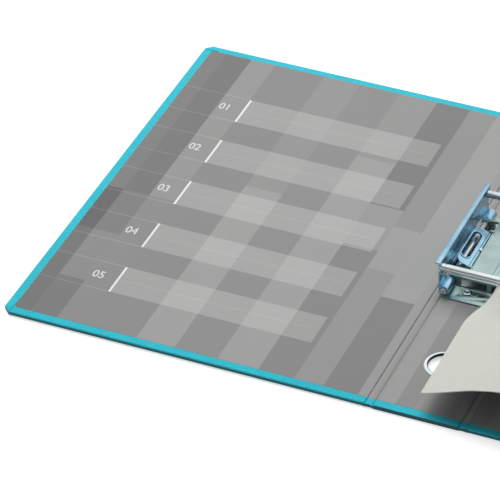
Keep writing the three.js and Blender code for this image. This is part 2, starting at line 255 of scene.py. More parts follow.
def same(*places):
    """Whether places along one axis fall together."""
    return max(places) - min(places) < NEAR


def modify(obj, kind, **values):
    """Adds a modifier, sets it and applies it."""
    take(obj)
    modifier = obj.modifiers.new(kind.title(), kind)
    for key, value in values.items():
        setattr(modifier, key, value)
    bpy.ops.object.modifier_apply(modifier=modifier.name)


def smooth(obj, degrees=35):
    """Smooth shading, but sharp where faces meet at more than the angle."""
    take(obj)
    bpy.ops.object.shade_smooth_by_angle(angle=math.radians(degrees))


def face_outwards(obj):
    """Merges doubled vertices and turns every face outwards."""
    edit(obj)
    bpy.ops.mesh.remove_doubles(threshold=MERGE)
    bpy.ops.mesh.normals_make_consistent(inside=False)
    leave()


def copy_of(node, name):
    """A merged copy of a CAD node's mesh with its flat faces whole again."""
    start_fresh()
    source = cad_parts[node]
    obj = bpy.data.objects.new(name, source.data.copy())
    obj.data.name = name
    bpy.context.collection.objects.link(obj)
    obj.data.materials.clear()
    edit(obj)
    bpy.ops.mesh.remove_doubles(threshold=MERGE)
    bpy.ops.mesh.dissolve_limited(angle_limit=FLAT)
    leave()
    return obj


def extruded(name, points, moves):
    """A flat outline drawn out by one move after the other."""
    obj = loop(name, points, "NGON")
    edit(obj)
    for move in moves:
        bpy.ops.mesh.extrude_region_move(TRANSFORM_OT_translate={"value": move})
    leave()
    face_outwards(obj)
    return obj


def outline_prism(name, points, low, high):
    """A flat outline of (x, y) points between two heights."""
    return extruded(name, [(x, y, low) for x, y in points], [(0, 0, high - low)])


def run_along_y(name, section, stops):
    """A closed section of (x, z) points carried along Y from stop to stop."""
    moves = [(0, there - here, 0) for here, there in zip(stops, stops[1:])]
    return extruded(name, [(x, stops[0], z) for x, z in section], moves)


def turned(name, profile, centre, axis="Z", steps=48):
    """A closed profile of (radius, height) points spun about an axis through centre."""
    points = []
    for radius, height in profile:
        place = {"X": (height, radius, 0), "Y": (radius, height, 0), "Z": (radius, 0, height)}[axis]
        points.append(Vector(place) + Vector(centre))
    obj = loop(name, points, "NOTHING")
    line = {"X": (1, 0, 0), "Y": (0, 1, 0), "Z": (0, 0, 1)}[axis]
    edit(obj)
    bpy.ops.mesh.spin(steps=steps, angle=2 * math.pi, center=centre, axis=line, use_auto_merge=True)
    leave()
    face_outwards(obj)
    smooth(obj)
    return obj


def around(radius, height, *offsets):
    """Profile points, each given in millimetres from a radius and a height."""
    return [(radius + out * MM, height + up * MM) for out, up in offsets]


def arc(radius, start, end, steps=12):
    """Points on an arc about (0, 0), with the angles in degrees."""
    angles = [math.radians(start + (end - start) * step / steps) for step in range(steps + 1)]
    return [(radius * math.cos(angle), radius * math.sin(angle)) for angle in angles]


def joined(pieces, name):
    """Several pieces as one."""
    start_fresh()
    for piece in pieces:
        piece.select_set(True)
    bpy.context.view_layer.objects.active = pieces[0]
    bpy.ops.object.join()
    pieces[0].name = name
    return pieces[0]


def dress(obj, material, body, slot, *nodes):
    """Gives a piece its material and body, and hides the CAD nodes that it stands for; the slot is not
    used.
    """
    if material:
        obj.data.materials.clear()
        obj.data.materials.append(material)
    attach(obj, body)
    if nodes:
        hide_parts(*nodes)


# Materials

# Radians by which a wave texture of scale 1 turns in a metre
WAVE_RATE = 20


class Shader:
    """The node tree of a material or of the world under construction."""

    def __init__(self, owner, surface, **sockets):
        owner.use_nodes = True
        self.owner = owner
        self.nodes = owner.node_tree.nodes
        self.links = owner.node_tree.links
        self.surface = self.nodes[surface]
        self.set(self.surface, sockets)

    @staticmethod
    def set(node, sockets):
        """Sets sockets by name, with _ for each space in a name."""
        for key, value in sockets.items():
            node.inputs[key.replace("_", " ")].default_value = value

    @functools.cached_property
    def places(self):
        """Coordinates of the shaded point."""
        return self.add("TexCoord").outputs

    def add(self, kind, fields=None, **sockets):
        """A new shader node with its fields and sockets set."""
        node = self.nodes.new("ShaderNode" + kind)
        for key, value in (fields or {}).items():
            setattr(node, key, value)
        self.set(node, sockets)
        return node

    def join(self, output, node, socket):
        """Links an output to a node's socket, given by name or number."""
        self.links.new(output, node.inputs[socket])

    def noise(self, scale, detail=3, roughness=0.5):
        """Noise of 0 to 1 that lies fixed in the object."""
        node = self.add("TexNoise", Scale=scale, Detail=detail, Roughness=roughness)
        self.join(self.places["Object"], node, "Vector")
        return node.outputs["Fac"]

    def wave(self, direction, length):
        """Slightly wavering ripples across a direction, of 0 to 1."""
        scale = 2 * math.pi / (WAVE_RATE * length)
        node = self.add("TexWave", {"bands_direction": direction},
                        Scale=scale, Distortion=1.2, Detail=2, Detail_Scale=2)
        self.join(self.places["Object"], node, "Vector")
        return node.outputs["Fac"]

    def steepness(self):
        """0 on a level face and 1 on an upright one, as the object lies open."""
        parts = self.add("SeparateXYZ")
        self.join(self.places["Normal"], parts, "Vector")
        level = self.maths("ABSOLUTE", parts.outputs["Z"], 0)
        return self.maths("SUBTRACT", 1, level)

    def ramp(self, value, stops):
        """Turns a value into a colour by stops of (value, colour)."""
        node = self.add("ValToRGB")
        while len(node.color_ramp.elements) < len(stops):
            node.color_ramp.elements.new(0.5)
        for element, (at, colour) in zip(node.color_ramp.elements, stops):
            element.position = at
            element.color = (*colour, 1)
        self.join(value, node, "Fac")
        return node.outputs["Color"]

    def maths(self, operation, first, second):
        """The result of an operation on two numbers or outputs."""
        node = self.add("Math", {"operation": operation})
        for index, value in enumerate((first, second)):
            if isinstance(value, (int, float)):
                node.inputs[index].default_value = value
            else:
                self.join(value, node, index)
        return node.outputs[0]

    def tint(self, colour, factor):
        """One colour times another."""
        node = self.add("Mix", {"data_type": "RGBA", "blend_type": "MULTIPLY"}, Factor=1)
        self.join(colour, node, "A")
        self.join(factor, node, "B")
        return node.outputs["Result"]

    def bump(self, height, distance, strength=1.0):
        """Roughens the surface by a height times a distance."""
        node = self.add("Bump", Distance=distance, Strength=strength)
        self.join(height, node, "Height")
        self.join(node.outputs["Normal"], self.surface, "Normal")

    def choose(self, test, otherwise, chosen):
        """The chosen shader where the test is 1, and the other one where it is 0."""
        node = self.add("MixShader")
        self.join(test, node, "Fac")
        self.join(otherwise.outputs[0], node, 1)
        self.join(chosen.outputs[0], node, 2)
        return node


def new_material(name, **sockets):
    """A material with its main shader's sockets set."""
    return Shader(bpy.data.materials.new(name), "Principled BSDF", **sockets)


def cloth_material():
    """Coated bookcloth: a slight mottle, gentle ripples, a satin coat, and painted shade that darkens
    its edge faces.
    """
    settings = bpy.context.scene.tube_file_case
    shader = new_material("turquoise_bookcloth", Roughness=0.5, Specular_IOR_Level=0.35)
    colour = tuple(settings.cloth)
    mottle = shader.ramp(shader.noise(900, 4, 0.7), [
        (0.3, brighter(colour, 0.82)), (0.5, colour), (0.75, brighter(colour, 1.16))])
    cloud = shader.ramp(shader.noise(45, 2), [(0.35, grey(0.93)), (0.7, grey(1))])
    # Painted shade: faces that stand on edge are darkened, down to a fifth of the cloth's colour.
    upright = shader.ramp(shader.steepness(), [(0.6, grey(1)), (0.97, grey(0.2))])
    shader.join(shader.tint(shader.tint(mottle, cloud), upright), shader.surface, "Base Color")
    ripples = shader.maths("ADD", shader.wave("X", settings.ripple), shader.wave("Y", settings.ripple))
    shader.bump(ripples, 0.05 * MM, 0.6)
    return shader.owner


def print_material():
    """Printed paper: the print's tones with the paper's faint grain."""
    shader = new_material("printed_lining", Roughness=0.62, Specular_IOR_Level=0.18)
    tones = shader.add("Attribute", {"attribute_name": "print"}).outputs["Color"]
    grain = shader.ramp(shader.noise(1600, 3, 0.8), [(0.3, grey(0.92)), (0.7, grey(0.99))])
    cloud = shader.ramp(shader.noise(14, 2), [(0.3, grey(0.97)), (0.7, grey(1.0))])
    shader.join(shader.tint(shader.tint(tones, grain), cloud), shader.surface, "Base Color")
    shader.bump(shader.noise(2600, 2), 0.02 * MM, 0.5)
    return shader.owner


def plated_material(name, colour, second, roughness, scale=55):
    """Plating: two tints that drift into each other, with a fine grain."""
    shader = new_material(name, Metallic=1.0, Roughness=roughness)
    drift = shader.ramp(shader.noise(scale, 2, 0.4), [
        (0.3, second), (0.5, colour), (0.72, brighter(colour, 1.12))])
    shader.join(drift, shader.surface, "Base Color")
    rough = shader.maths("MULTIPLY", shader.noise(420, 3), roughness * 0.6)
    shader.join(shader.maths("ADD", rough, roughness * 0.7), shader.surface, "Roughness")
    shader.bump(shader.noise(600, 1), 0.006 * MM, 0.15)
    return shader.owner


def paper_material(name, colour):
    """Pale card with fine fibres."""
    shader = new_material(name, Roughness=0.7, Specular_IOR_Level=0.25)
    fibres = shader.ramp(shader.noise(500, 5, 0.75), [
        (0.3, brighter(colour, 0.95)), (0.5, colour), (0.72, brighter(colour, 1.04))])
    shader.join(fibres, shader.surface, "Base Color")
    shader.bump(shader.noise(1500, 3), 0.02 * MM, 0.5)
    return shader.owner


def ink_material():
    """Pale ink that covers a little unevenly."""
    shader = new_material("index_ink", Roughness=0.6)
    colour = tuple(bpy.context.scene.tube_file_print.number_colour)
    ink = shader.ramp(shader.noise(900, 2), [(0.3, brighter(colour, 0.95)), (0.7, colour)])
    shader.join(ink, shader.surface, "Base Color")
    return shader.owner


def steel_tint(name):
    """A colour of the steel settings."""
    return tuple(getattr(bpy.context.scene.tube_file_steel, name))


MAKERS = {
    "cloth": cloth_material,
    "print": print_material,
    "card": lambda: paper_material("index_card", tuple(bpy.context.scene.tube_file_sheet.colour)),
    # Painted highlight: the sheet's cut edge is given a paler card than its face.
    "card_edge": lambda: paper_material("card_edge", srgb(248, 249, 244)),
    "ink": ink_material,
    "plated": lambda: plated_material("zinc_plate", steel_tint("plated"), srgb(152, 174, 174), 0.3),
    "blue": lambda: plated_material(
        "blue_zinc_plate", steel_tint("blue"), srgb(136, 178, 206), 0.27, 90),
    "bright": lambda: plated_material(
        "bright_steel", steel_tint("bright"), srgb(192, 203, 209), 0.14),
    "wire": lambda: plated_material("spring_wire", srgb(214, 222, 226), srgb(186, 196, 204), 0.25),
    "dark": lambda: plated_material("shaded_bore", srgb(40, 42, 44), srgb(30, 31, 33), 0.5),
}
made = {}


def finish_of(kind):
    """The named material, made when first asked for."""
    if kind not in made:
        made[kind] = MAKERS[kind]()
    return made[kind]


# Print. Places are millimetres across from the front cover's fore-edge and up from the file's lower
# end, and tones are greys of 0 to 255 on screen. A ground is a row of columns, each with its right
# edge and its tones from the top down as (lower end, tone). The last column runs on.

FRONT_GROUND = [
    (16.25, [(139, 133), (94.5, 111), (0, 124)]),
    (33.25, [(139, 127), (94.5, 134), (45, 146), (0, 130)]),
    (50.0, [(139, 156), (0, 147)]),
    (83.75, [(0, 146)]),
    (108.0, [(171, 155), (0, 166)]),
    (135.0, [(0, 149)]),
    (160.5, [(227, 157), (0, 166)]),
    (182.75, [(183, 134), (139, 160), (0, 143)]),
    (200.75, [(166, 154), (121, 166), (0, 157)]),
    (221.75, [(97.5, 167), (0, 139)]),
    (228.0, [(0, 163)]),
]
SPINE_GROUND = [(edge, [(0, tone)]) for edge, tone in (
    (235.5, 163), (244.5, 166), (256.0, 151), (268.0, 156), (279.0, 149), (285.0, 158))]
BACK_GROUND = [(edge, [(0, tone)]) for edge, tone in (
    (300, 150), (322, 158), (350, 144), (385, 156), (410, 149), (440, 160), (520, 146))]

# The index fields: their left and right edges, the top of the first one and their number
FIELD = (50.25, 179.25)
FIRST_FIELD = 258.25
FIELDS = 5
# A field's tone follows the ground's, paler and with less contrast
GROUND_MEAN = 138
FIELD_MEAN = 165
FIELD_CONTRAST = 0.68
# The pale tick along a field's left edge
TICK = 1.4
TICK_TONE = 242
# Ends of the line through a field, thickness of it and of the rules that lead to the field's
# corners, and how much paler the line and the rules are
FIELD_LINE = (53.0, 175.0)
THIN = 0.7
LINE_GAIN = 9
RULE_GAIN = 19
# Blue of a printed grey against its red and green
PAPER_BLUE = 0.995

# The numbers: their middle, height above the lining, height at size 1, narrowing and settings
NUMBER_X = 38.4 * MM
NUMBER_LIFT = 0.1 * MM
DIGIT_HEIGHT = 0.7
NARROWED = 0.82
LETTERS = {"extrude": 0.01 * MM, "offset": 0.12 * MM, "resolution_u": 6,
           "align_x": "CENTER", "align_y": "CENTER"}


def ground_tone(ground, across, up):
    """Tone of a printed ground at a place."""
    tones = next((tones for edge, tones in ground if across < edge), ground[-1][1])
    return next(tone for low, tone in tones if up >= low)


def field_tops():
    """Upper edges of the index fields."""
    pitch = bpy.context.scene.tube_file_print.field_pitch
    return [FIRST_FIELD - index * pitch / MM for index in range(FIELDS)]


def index_tone(across, up):
    """Tone of the front lining's print at a place."""
    height = bpy.context.scene.tube_file_print.field_height / MM
    ground = ground_tone(FRONT_GROUND, across, up)
    for top in field_tops():
        bottom = top - height
        if bottom < up < top and FIELD[0] < across < FIELD[1]:
            if across < FIELD[0] + TICK:
                return TICK_TONE
            halfway = abs(up - (top + bottom) / 2) < THIN / 2
            on_line = halfway and FIELD_LINE[0] < across < FIELD_LINE[1]
            tone = FIELD_MEAN + (ground - GROUND_MEAN) * FIELD_CONTRAST
            return tone + (LINE_GAIN if on_line else 0)
        if across < FIELD[0] and min(abs(up - top), abs(up - bottom)) < THIN / 2:
            return ground + RULE_GAIN
    return ground


def index_lines():
    """Places across and up where the front lining's print changes."""
    height = bpy.context.scene.tube_file_print.field_height / MM
    across = [edge for edge, tones in FRONT_GROUND]
    across += [FIELD[0], FIELD[0] + TICK, FIELD[1], *FIELD_LINE]
    up = [low for edge, tones in FRONT_GROUND for low, tone in tones if low]
    for top in field_tops():
        for line in (top, top - height, top - height / 2):
            up += [line - THIN / 2, line + THIN / 2]
        up += [top, top - height]
    return sorted(set(across)), sorted(set(up))


def paint(obj, colour_at):
    """Stores each face's print colour on its corners."""
    layer = obj.data.color_attributes.new(name="print", type="FLOAT_COLOR", domain="CORNER")
    for face in obj.data.polygons:
        colour = (*colour_at(face.center), 1)
        for corner in face.loop_indices:
            layer.data[corner].color = colour


def print_on(obj, tone_at, across, up):
    """Cuts the piece along the print's lines and paints each cell in its tone."""
    def colour_at(place):
        tone = tone_at((place.x - FORE_EDGE) / MM, (place.y + HALF_HEIGHT) / MM)
        return srgb(tone, tone, tone * PAPER_BLUE)

    edit(obj)
    cuts = [((FORE_EDGE + x * MM, 0, 0), (1, 0, 0)) for x in across]
    cuts += [((0, y * MM - HALF_HEIGHT, 0), (0, 1, 0)) for y in up]
    for point, normal in cuts:
        bpy.ops.mesh.select_all(action="SELECT")
        bpy.ops.mesh.bisect(plane_co=point, plane_no=normal, use_fill=False)
    leave()
    paint(obj, colour_at)


# Case

COVERS = {"front": -1, "back": 1}
CORNER_CUT = 4.5 * MM
# How far the folded corners stay inside the wrapped edges, and outside the lining
FOLD_INSET = 0.35 * MM
FOLD_GAP = 0.2 * MM
# How far a fold runs on from its corner, the near one at its outer and at its inner side
FAR_FOLD = 5 * MM
NEAR_FOLD = (5.5 * MM, 9 * MM)
# How far the printed paper stands above the cloth round it
PRINT_LIFT = 0.08 * MM
# The groove's upper side from the spine's edge to its middle, as shares of its width and depth;
# from the cover's edge it runs the same way but shallower
CREASE = [(0.03, -0.5), (0.08, -1), (0.14, -0.8), (0.22, -0.42), (0.36, -0.3), (0.5, -0.26)]
SHALLOWER = 0.6
# Its lower side from the cover's edge, as shares of its width and heights in millimetres
UNDERSIDE = [(1, 0), (0.86, 0.3), (0.7, 0.42), (0.3, 0.42), (0.14, 0.3), (0, 0)]
GROOVE_COLOUR = srgb(162, 162, 161)


def wrapped_board(side, sign):
    """A cover: the board with the cloth round it, rounded edges and cut corners."""
    settings = bpy.context.scene.tube_file_case
    low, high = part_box(side + "_cover_cloth")
    fore, hinge = (low[0], high[0]) if sign < 0 else (high[0], low[0])
    start_fresh()
    bpy.ops.mesh.primitive_cube_add(size=1, location=(Vector(low) + Vector(high)) / 2)
    bpy.context.active_object.scale = Vector(high) - Vector(low)
    obj = new_piece(side + "_wrapped_board")
    edit(obj)
    choose_edges(obj, lambda a, b: same(a.x, b.x, fore) and same(a.y, b.y))
    bpy.ops.mesh.bevel(offset=CORNER_CUT, segments=1)
    choose_edges(obj, lambda a, b: same(a.z, b.z) and not same(a.x, b.x, hinge))
    bpy.ops.mesh.bevel(offset=settings.rounding, segments=4)
    leave()
    smooth(obj, 50)
    dress(obj, finish_of("cloth"), side + "_cover", "turquoise_cloth",
          side + "_cover_cloth", side + "_board")


def corner_folds(side, sign):
    """The cloth tucked over each cut corner."""
    height = bpy.context.scene.tube_file_case.fold_height
    reach = abs(FORE_EDGE) - FOLD_INSET
    end = HALF_HEIGHT - FOLD_INSET
    inner_x = abs(LINING_EDGE) + FOLD_GAP
    inner_y = LINING_END + FOLD_GAP
    far = [(reach - CORNER_CUT, end), (reach, end - CORNER_CUT), (inner_x, inner_y),
           (inner_x - FAR_FOLD, inner_y)]
    near = [(reach - CORNER_CUT, -end), (reach, CORNER_CUT - end),
            (reach, CORNER_CUT + NEAR_FOLD[0] - end), (inner_x, NEAR_FOLD[1] - inner_y),
            (inner_x, -inner_y)]
    pieces = []
    for corner in (far, near):
        points = [(sign * x, y) for x, y in corner]
        patch = outline_prism(f"{side}_corner_fold", points, COVER_TOP - SINK, COVER_TOP + height)
        modify(patch, "BEVEL", width=SMALL_EDGE, segments=2)
        pieces.append(patch)
    folds = joined(pieces, side + "_corner_folds")
    smooth(folds)
    dress(folds, finish_of("cloth"), side + "_cover", "turquoise_cloth")


def groove(side, sign):
    """The groove between spine and cover: cloth and lining pressed into a channel."""
    depth = bpy.context.scene.tube_file_case.groove_depth
    inner, outer = SPINE_EDGE, abs(COVER_EDGE)
    width = outer - inner
    upper = [(0, PRINT_LIFT)] + [(t, z * depth) for t, z in CREASE]
    upper += [(1 - t, z * depth * SHALLOWER) for t, z in reversed(CREASE[:-1])] + [(1, PRINT_LIFT)]
    section = [(inner + t * width, COVER_TOP + z) for t, z in upper]
    section += [(inner + t * width, z * MM) for t, z in UNDERSIDE]
    section = [(sign * x, z) for x, z in section]
    obj = run_along_y(side + "_groove", section, [-HALF_HEIGHT, -LINING_END, LINING_END, HALF_HEIGHT])
    obj.data.materials.append(finish_of("cloth"))
    obj.data.materials.append(finish_of("print"))
    for face in obj.data.polygons:
        lined = abs(face.center.y) < LINING_END and face.center.z > COVER_TOP / 2
        face.material_index = 1 if lined else 0
    paint(obj, lambda place: GROOVE_COLOUR)
    smooth(obj, 60)
    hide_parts(side + "_hinge_cloth")
    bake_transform(obj)


def lining(node, body, tone_at, across, up):
    """A lining sheet, cut along its print."""
    obj = copy_of(node, node + "_sheet")
    for vertex in obj.data.vertices:
        if vertex.co.z > COVER_TOP - NEAR:
            vertex.co.z += PRINT_LIFT
    print_on(obj, tone_at, across, up)
    dress(obj, finish_of("print"), body, "printed_lining", node)


class BuildCovers(bpy.types.Operator):
    """Build the cloth-wrapped covers with their folded corners"""
    bl_idname = "tube_file.build_covers"
    bl_label = "Covers"

    def execute(self, context):
        for side, sign in COVERS.items():
            wrapped_board(side, sign)
            corner_folds(side, sign)
            groove(side, sign)
        return {"FINISHED"}


class BuildSpine(bpy.types.Operator):
    """Build the spine's cloth and board"""
    bl_idname = "tube_file.build_spine"
    bl_label = "Spine"

    def execute(self, context):
        for node, name, slot in (("spine_cloth", "spine_wrap", "turquoise_cloth"),
                                 ("spine_board", "spine_core", "greyboard")):
            dress(copy_of(node, name), finish_of("cloth"), "spine", slot, node)
        return {"FINISHED"}


class BuildLinings(bpy.types.Operator):
    """Build the printed linings and the index numbers"""
    bl_idname = "tube_file.build_linings"
    bl_label = "Printed linings"

    def execute(self, context):
        lining("front_lining", "front_cover", index_tone, *index_lines())
        for node, body, ground in (("spine_lining", "spine", SPINE_GROUND),
                                   ("back_lining", "back_cover", BACK_GROUND)):
            tone_at = functools.partial(ground_tone, ground)
            lining(node, body, tone_at, [edge for edge, tones in ground], [])
        self.numbers()
        return {"FINISHED"}

    def numbers(self):
        """The numbers, each level with the middle of its field."""
        settings = bpy.context.scene.tube_file_print
        pieces = []
        for index, top in enumerate(field_tops()):
            start_fresh()
            bpy.ops.object.text_add()
            text = bpy.context.active_object
            text.data.body = f"{index + 1:02d}"
            text.data.size = settings.number_height / DIGIT_HEIGHT
            for key, value in LETTERS.items():
                setattr(text.data, key, value)
            bpy.ops.object.convert(target="MESH")
            text.scale = (NARROWED, 1, 1)
            middle = top - settings.field_height / MM / 2
            text.location = (FORE_EDGE + NUMBER_X, middle * MM - HALF_HEIGHT, COVER_TOP + NUMBER_LIFT)
            settle()
            pieces.append(text)
        numbers = joined(pieces, "index_numbers")
        dress(numbers, finish_of("ink"), "front_cover", "printed_lining")


# Finger ring

# Width of the flange; how far below the lining and out from the bore the shaded part reaches
FLANGE = 2.6 * MM
SHADE_DEPTH = 0.9 * MM
SHADE_RIM = 0.4 * MM


class BuildRing(bpy.types.Operator):
    """Build the finger ring"""
    bl_idname = "tube_file.build_ring"
    bl_label = "Finger ring"

    def execute(self, context):
        low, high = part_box("finger_ring")
        outer = (high[0] - low[0]) / 2
        centre = (0, (low[1] + high[1]) / 2, 0)
        hole = outer - FLANGE
        crown = high[2]
        shade = COVER_TOP - SHADE_DEPTH
        profile = [
            (hole, shade),
            *around(hole, 0, (0, 0.5), (0.25, 0.12), (0.8, 0)),
            *around(outer, 0, (-0.8, 0), (-0.1, 0.2), (0, 0.45), (-0.2, 0.7)),
            *around(hole, 0, (0.7, 0.85)),
            *around(hole, COVER_TOP, (0.7, -0.2)),
            *around(outer, COVER_TOP, (-0.15, 0.05), (0, 0.3)),
            *around(outer, crown, (-0.35, -0.22), (-1, -0.02), (-1.5, 0)),
            *around(hole, crown, (0.5, -0.1), (0.1, -0.3), (0, -0.5)),
        ]
        ring = turned("finger_ring_eyelet", profile, centre, steps=96)
        ring.data.materials.append(finish_of("bright"))
        ring.data.materials.append(finish_of("dark"))
        for face in ring.data.polygons:
            across = (face.center - Vector(centre)).xy.length
            if across < hole + SHADE_RIM and face.center.z > shade:
                face.material_index = 1
        dress(ring, None, "spine", "bright_steel", "finger_ring", "finger_ring_collar")
        return {"FINISHED"}


# Mechanism

SIDES = {"left": -1, "right": 1}
TUBE_BORE = 1.5 * MM
# The ring groove of a tube, from the tube's surface and the groove's middle, in millimetres
GROOVE_FROM_END = 4.4 * MM
RING_GROOVE = [(0, 0.45), (-0.35, 0.225), (-0.35, -0.225), (0, -0.45)]
# A rivet's radii, and the height of its head
RIVET_HEAD = 2.9 * MM
RIVET_SHANK = 1.7 * MM
RIVET_BORE = 1.0 * MM
HEAD_HEIGHT = 0.8 * MM
# The tab over a lever: outer and inner radius, start and end in degrees, and its ends along Y
TAB_RADII = (2.0 * MM, 1.35 * MM)
TAB_ARC = (85, 200)
TAB_RUN = [-2.0 * MM, 0.6 * MM]
# The deck's bosses as (radius, height above the deck), their places, and the rib as (x, height
# above the deck), all in millimetres
BOSS = [(0, -0.2), (5.6, -0.2), (5.5, 0.02), (5.15, 0.2), (4.8, 0.3), (4.4, 0.34), (0, 0.34)]
BOSSES = [(-9.4, 19.1), (9.4, -19.1)]
RIB = [(-1.5, -0.2), (1.5, -0.2), (1.3, 0.05), (0.9, 0.3), (0.4, 0.38), (-0.4, 0.38), (-0.9, 0.3),
       (-1.3, 0.05)]
RIB_REACH = 25 * MM
# The bead on a foot: its own radius, the radius and sweep of its hook, and the near one's middle
BEAD_RADIUS = 0.42 * MM
BEAD_HOOK = 2.1 * MM
BEAD_SWEEP = math.radians(-200)
BEAD_MIDDLE = Vector((-7.6 * MM, -34.6 * MM, FOOT_TOP + 0.02 * MM))
# The stud on a side plate: its dome as (radius, distance from the wall) in millimetres, and its place
STUD = [(0, 0.6), (0, -0.75), (0.45, -0.65), (0.8, -0.35), (0.9, 0), (0.9, 0.6)]
WALL_FACE = 26.6 * MM
STUD_Y = 42.2 * MM
STUD_RISE = 11.4 * MM


def stamped(node, finish, body, slot):
    """A stamped sheet piece with its edges rounded."""
    obj = copy_of(node, node + "_stamping")
    modify(obj, "BEVEL", width=bpy.context.scene.tube_file_steel.edge, segments=2,
           limit_method="ANGLE", angle_limit=math.radians(40))
    smooth(obj, 40)
    dress(obj, finish_of(finish), body, slot, node)


def pin(node, chamfer):
    """A pin along Y with chamfered ends."""
    low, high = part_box(node)
    radius = (high[2] - low[2]) / 2
    centre = ((low[0] + high[0]) / 2, 0, (low[2] + high[2]) / 2)
    start, end = low[1], high[1]
    profile = [(0.0, start), (radius - chamfer, start), (radius, start + chamfer),
               (radius, end - chamfer), (radius - chamfer, end), (0.0, end)]
    obj = turned(node + "_bar", profile, centre, axis="Y", steps=32)
    dress(obj, finish_of("wire"), "spine", "spring_steel", node)


def tube(node):
    """A tube, with its bore, rounded ends and ring grooves."""
    low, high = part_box(node)
    centre = (0, (low[1] + high[1]) / 2, (low[2] + high[2]) / 2)
    radius = (high[2] - low[2]) / 2
    half = high[0]
    one_end = [
        *around(TUBE_BORE, half, (0, -0.3), (0.2, 0)),
        *around(radius, half, (-0.6, 0), (-0.18, -0.18), (0, -0.6)),
        *around(radius, half - GROOVE_FROM_END, *RING_GROOVE),
    ]
    profile = one_end + [(r, -x) for r, x in reversed(one_end)]
    obj = turned(node + "_pipe", profile, centre, axis="X", steps=40)
    dress(obj, finish_of("bright"), "spine", "bright_steel", node)


def rivet(node):
    """A hollow rivet with a rolled head above and a flare below."""
    low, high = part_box(node)
    centre = ((low[0] + high[0]) / 2, (low[1] + high[1]) / 2, 0)
    crown = high[2]
    seat = crown - HEAD_HEIGHT
    profile = [
        *around(RIVET_BORE, 0, (0, 0.2), (0.3, 0)),
        *around(0, 0, (3.0, 0), (3.2, 0.2), (3.0, 0.38)),
        *around(RIVET_SHANK, 0, (0, 0.4)),
        *around(RIVET_SHANK, seat, (0, 0)),
        *around(RIVET_HEAD, seat, (-0.2, 0), (0, 0.2)),
        *around(RIVET_HEAD, crown, (-0.15, -0.25), (-0.6, -0.03), (-1, 0)),
        *around(RIVET_BORE, crown, (0.3, -0.25), (0, -0.7)),
    ]
    obj = turned(node + "_hollow", profile, centre, steps=32)
    dress(obj, finish_of("bright"), "spine", "bright_steel", node)


def spring(node):
    """A torsion spring of round wire."""
    obj = copy_of(node, node + "_wire")
    modify(obj, "SUBSURF", levels=1, render_levels=1)
    smooth(obj, 60)
    dress(obj, finish_of("wire"), "spine", "spring_steel", node)


def lever_tab(side, sign):
    """The tab of the deck that curls over the lever's rolled edge."""
    outer, inner = TAB_RADII
    start, end = TAB_ARC
    curl = arc(outer, start, end) + arc(inner, end, start)
    section = [(sign * (PIVOT_X + x), PIVOT_Z + z) for x, z in curl]
    obj = run_along_y(side + "_lever_tab", section, TAB_RUN)
    modify(obj, "BEVEL", width=SMALL_EDGE, segments=2)
    smooth(obj, 40)
    dress(obj, finish_of("bright"), "spine", "zinc_plate")


def deck_forms():
    """Stamped forms of the deck: two round bosses and a long rib."""
    boss = around(0, DECK_TOP, *BOSS)
    pieces = [turned("deck_boss", boss, (x * MM, y * MM, 0)) for x, y in BOSSES]
    pieces.append(run_along_y("deck_rib", around(0, DECK_TOP, *RIB), [-RIB_REACH, RIB_REACH]))
    forms = joined(pieces, "deck_forms")
    smooth(forms, 50)
    dress(forms, finish_of("plated"), "spine", "zinc_plate")


def foot_beads():
    """The hook-shaped bead stamped into each foot beside its rivet."""
    pieces = []
    for turn in (0, math.pi):
        start_fresh()
        bpy.ops.mesh.primitive_circle_add(vertices=12, radius=BEAD_RADIUS, fill_type="NGON",
                                          rotation=(math.pi / 2, 0, 0))
        bead = new_piece("foot_bead")
        for vertex in bead.data.vertices:
            vertex.co.x -= BEAD_HOOK
        edit(bead)
        bpy.ops.mesh.spin(steps=24, angle=BEAD_SWEEP, center=(0, 0, 0), axis=(0, 0, 1))
        leave()
        face_outwards(bead)
        bead.rotation_euler = (0, 0, turn)
        x, y, z = BEAD_MIDDLE
        bead.location = (-x, -y, z) if turn else (x, y, z)
        take(bead)
        settle()
        pieces.append(bead)
    beads = joined(pieces, "foot_beads")
    smooth(beads, 60)
    dress(beads, finish_of("plated"), "spine", "zinc_plate")


def wall_stud(side, sign):
    """A small domed stud on the inner face of a side plate."""
    profile = [(radius * MM, sign * (WALL_FACE + out * MM)) for radius, out in STUD]
    obj = turned(side + "_wall_stud", profile, (0, -sign * STUD_Y, COVER_TOP + STUD_RISE), "X", 20)
    dress(obj, finish_of("bright"), side + "_plate", "bright_steel")


class BuildMechanism(bpy.types.Operator):
    """Build the binding mechanism: stampings, pins, springs, rivets and tubes"""
    bl_idname = "tube_file.build_mechanism"
    bl_label = "Mechanism"

    def execute(self, context):
        stamped("base_plate", "plated", "spine", "zinc_plate")
        for side in SIDES:
            stamped(side + "_side_plate", "blue", side + "_plate", "zinc_plate")
        for side in SIDES:
            stamped(side + "_release_lever", "blue", side + "_lever", "blue_zinc")
        for side, sign in SIDES.items():
            pin(side + "_hinge_pin", 0.25 * MM)
            pin(side + "_lever_pin", 0.1 * MM)
            lever_tab(side, sign)
            wall_stud(side, sign)
            for end in ("near", "far"):
                spring(f"{side}_{end}_spring")
        for number in range(1, 5):
            rivet(f"base_rivet_{number}")
        tube("near_tube")
        tube("far_tube")
        deck_forms()
        foot_beads()
        return {"FINISHED"}


# Index sheet. Its curve is (x, height) in millimetres: steep between the tubes, easy beyond them,
# and the same where it falls to the back cover.

REST = COVER_TOP + 0.5 * MM
FALLING = [(110, 22.5), (150, 10.7), (185, REST / MM + 1.1), (208, REST / MM)]
STEEP = [(5.5, 11.5), (11.2, 22.4), (17, 29), (26, 33.2), (45, 35.5), (72, 32.5), *FALLING]
EASY = [(1, 15.8), (8.3, 18.2), (16.4, 21.2), (24.2, 24.2), (33.1, 27.2), (50, 30.6), (75, 30),
        *FALLING]
# Distances from the sheet's middle where the steep curve begins to ease and where it ends
STEEP_TO = 41 * MM
EASY_FROM = 80 * MM
